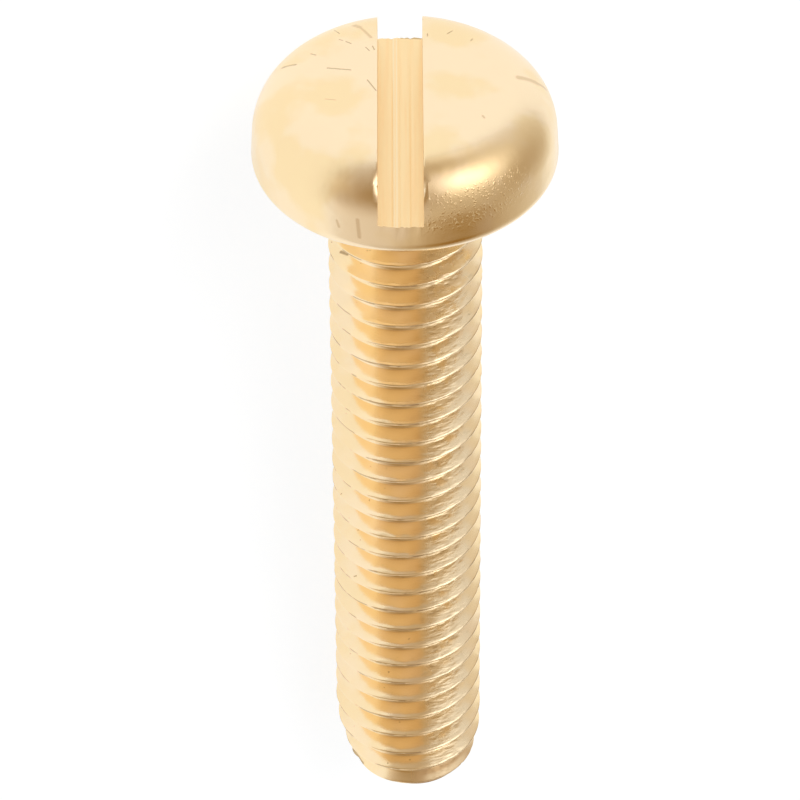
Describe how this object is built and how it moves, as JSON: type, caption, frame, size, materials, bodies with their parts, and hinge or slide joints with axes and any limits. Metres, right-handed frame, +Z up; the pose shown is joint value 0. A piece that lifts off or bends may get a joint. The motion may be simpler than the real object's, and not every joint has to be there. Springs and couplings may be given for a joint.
{
  "type": "pan head machine screw",
  "caption": "Slotted pan head machine screw in polished brass: a flat-topped round head with a driver slot, and a shank threaded up to the head that ends in a rounded point.",
  "frame": {"origin": "on the floor, under the middle of the box round the lying screw", "axes": "+Z up, +Y along the floor from the head towards the point, +X across the screw"},
  "size_m": [0.0092, 0.028, 0.0092],
  "materials": {
    "brass": "polished, lightly scratched, with rubbed thread crests"
  },
  "bodies": {
    "root": {"screw": "brass"}
  },
  "joints": []
}
